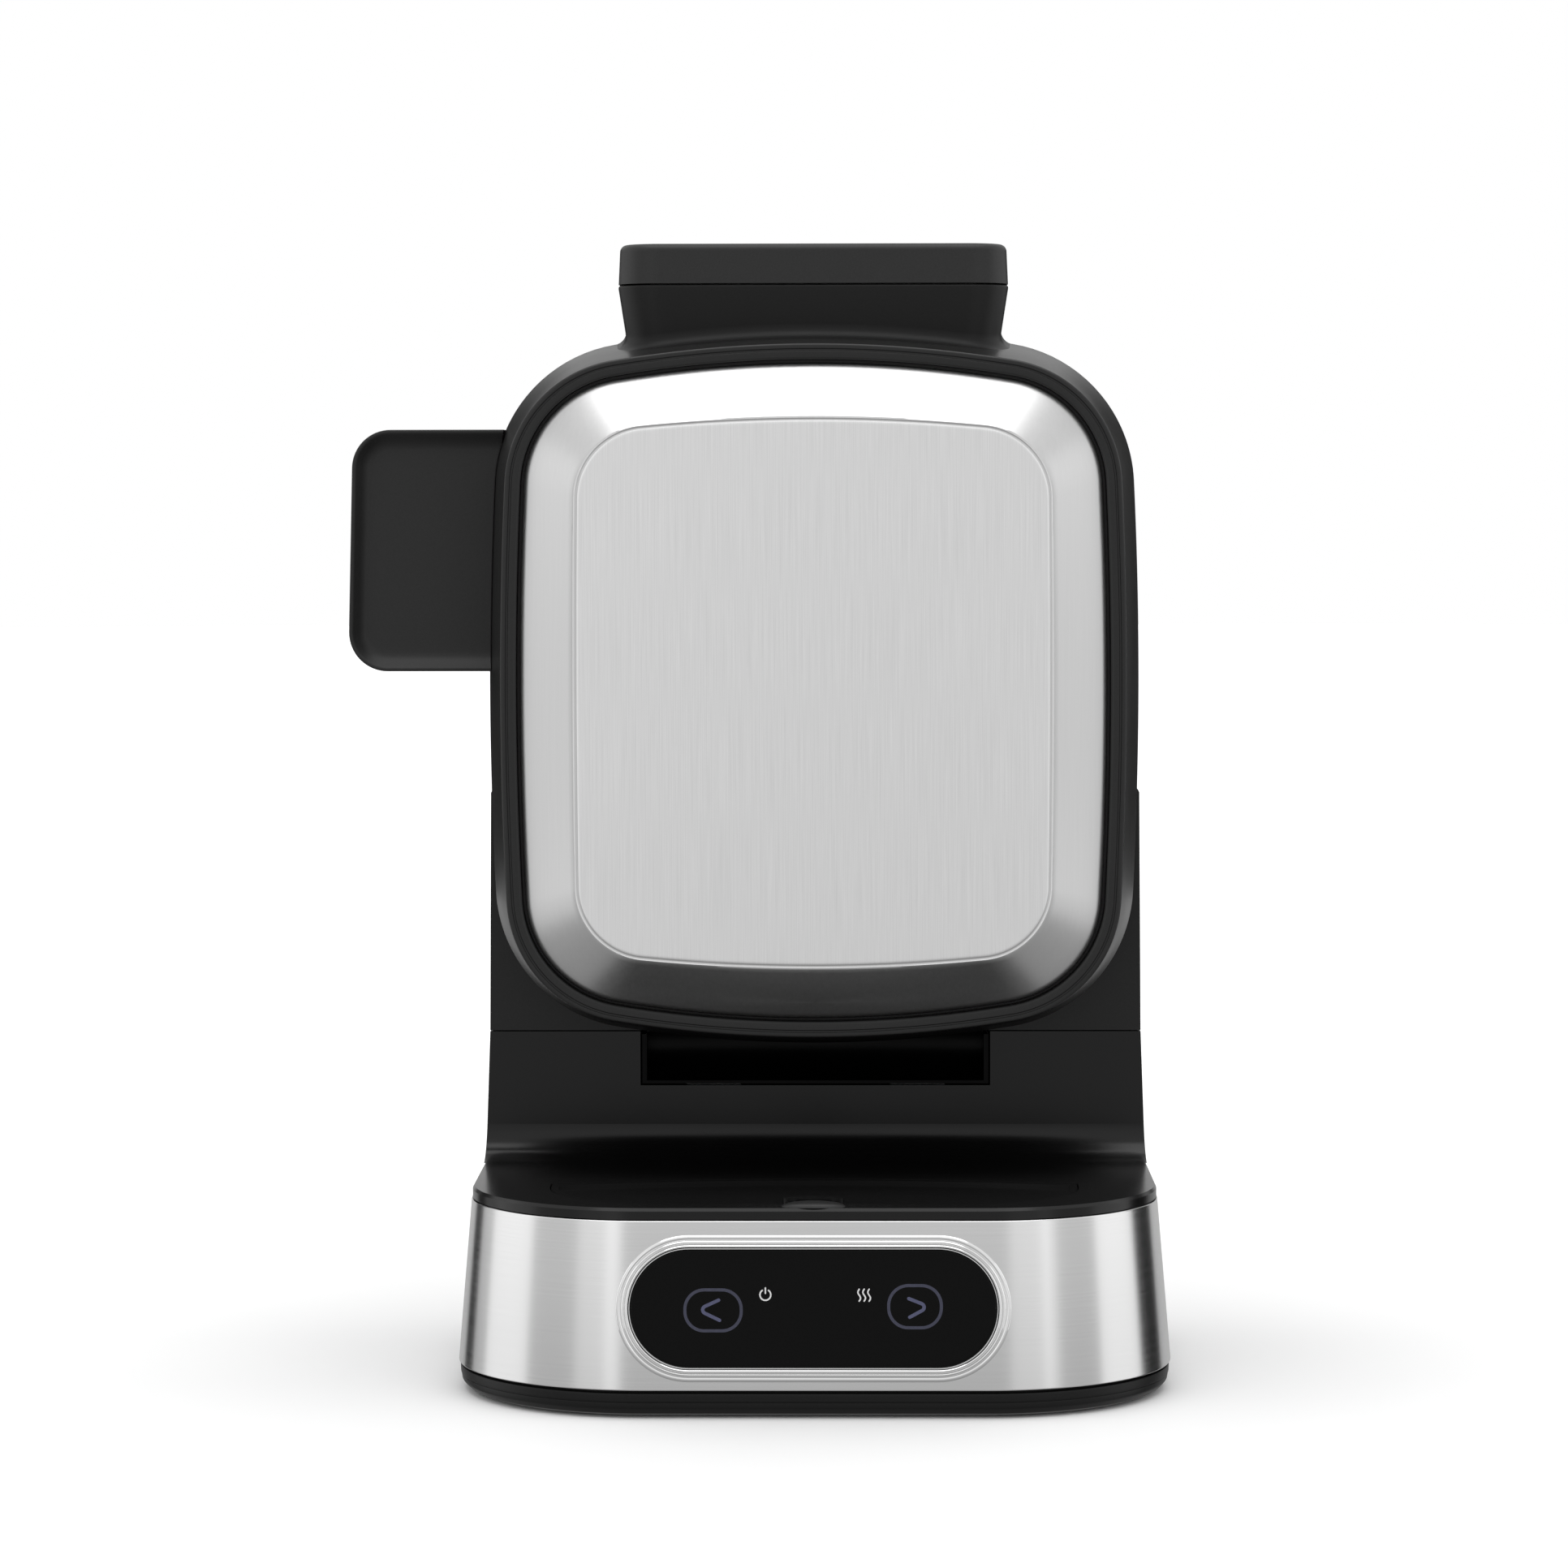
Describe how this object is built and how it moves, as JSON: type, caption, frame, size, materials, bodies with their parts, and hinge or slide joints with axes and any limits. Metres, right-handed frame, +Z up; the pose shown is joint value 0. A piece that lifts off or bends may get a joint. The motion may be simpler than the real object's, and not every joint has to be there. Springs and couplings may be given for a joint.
{
  "type": "waffle maker",
  "caption": "Upright waffle maker: batter is poured into a lidded spout on top, a steel-faced door with a side paddle handle drops forward over a base with a touch panel.",
  "frame": {"origin": "on the table surface under the middle of the base", "axes": "+Z up, the steel face and the touch panel face -Y, the paddle handle stands out towards -X"},
  "size_m": [0.2754, 0.2041, 0.381],
  "materials": {
    "black_plastic": "fine matte texture, black",
    "gloss_black": "smooth black moulding",
    "brushed_face": "vertical brushed grain on the raised centre, satin bevel",
    "band_steel": "polished with a faint horizontal grain",
    "bezel_chrome": "bright ridged trim",
    "lens_black": "black glass-like touch panel",
    "rubber": "matte",
    "cast_plate": "dark non-stick coated casting",
    "zinc_steel": "zinc plated",
    "element": "heat tinted sheath",
    "reflector": "bright rolled sheet",
    "insulation": "ceramic fibre felt",
    "silicone": "soft silicone",
    "board": "glass fibre board, green",
    "component": "moulded housings",
    "copper_part": "bronze bush",
    "magnet": "nickel plated"
  },
  "bodies": {
    "stand": {"nonslip_ring": "rubber", "bottom_cover": "black_plastic", "base_frame": "black_plastic", "base_screws": "zinc_steel", "steel_band": "band_steel", "bezel_ring": "bezel_chrome", "display_lens": "lens_black", "display_carrier": "black_plastic", "display_board": "board", "power_board": "board", "relay": "component", "transformer": "component", "terminal_block": "component", "cord_gland": "black_plastic", "upper_housing": "gloss_black", "drip_tray": "gloss_black", "column_housing": "black_plastic", "column_back_cover": "black_plastic", "hinge_cover": "black_plastic", "spine_frame": "zinc_steel", "rear_plate": "cast_plate", "rear_heater": "element", "rear_reflector": "reflector", "rear_insulation": "insulation", "thermostat": "component", "rear_shell": "black_plastic", "hinge_bay_wall": "black_plastic", "rear_face_screws": "zinc_steel", "strike_plates": "zinc_steel", "lid_hinge_pin": "zinc_steel", "hinge_bracket": "zinc_steel", "hinge_screws": "zinc_steel", "head_screws": "zinc_steel", "hinge_pin": "zinc_steel"},
    "door": {"door_shell": "black_plastic", "face_plate": "brushed_face", "door_inner_frame": "zinc_steel", "hinge_bushes": "copper_part", "door_frame_screws": "zinc_steel", "catch_magnets": "magnet", "door_plate": "cast_plate", "door_heater": "element", "door_reflector": "reflector", "door_insulation": "insulation", "thermal_fuse": "component", "handle_front": "black_plastic", "handle_rear": "black_plastic", "handle_bracket": "zinc_steel", "handle_screws": "zinc_steel"},
    "lid": {"lid_shell": "black_plastic", "lid_liner": "silicone"}
  },
  "joints": [
    {"name": "door_hinge", "type": "hinge", "parent": "stand", "child": "door", "pos_m": [0, -0.014, 0.127], "axis": [1, 0, 0], "range_deg": [0, 90]},
    {"name": "lid_hinge", "type": "hinge", "parent": "stand", "child": "lid", "pos_m": [0, 0.0175, 0.3695], "axis": [-1, 0, 0], "range_deg": [0, 100]}
  ]
}
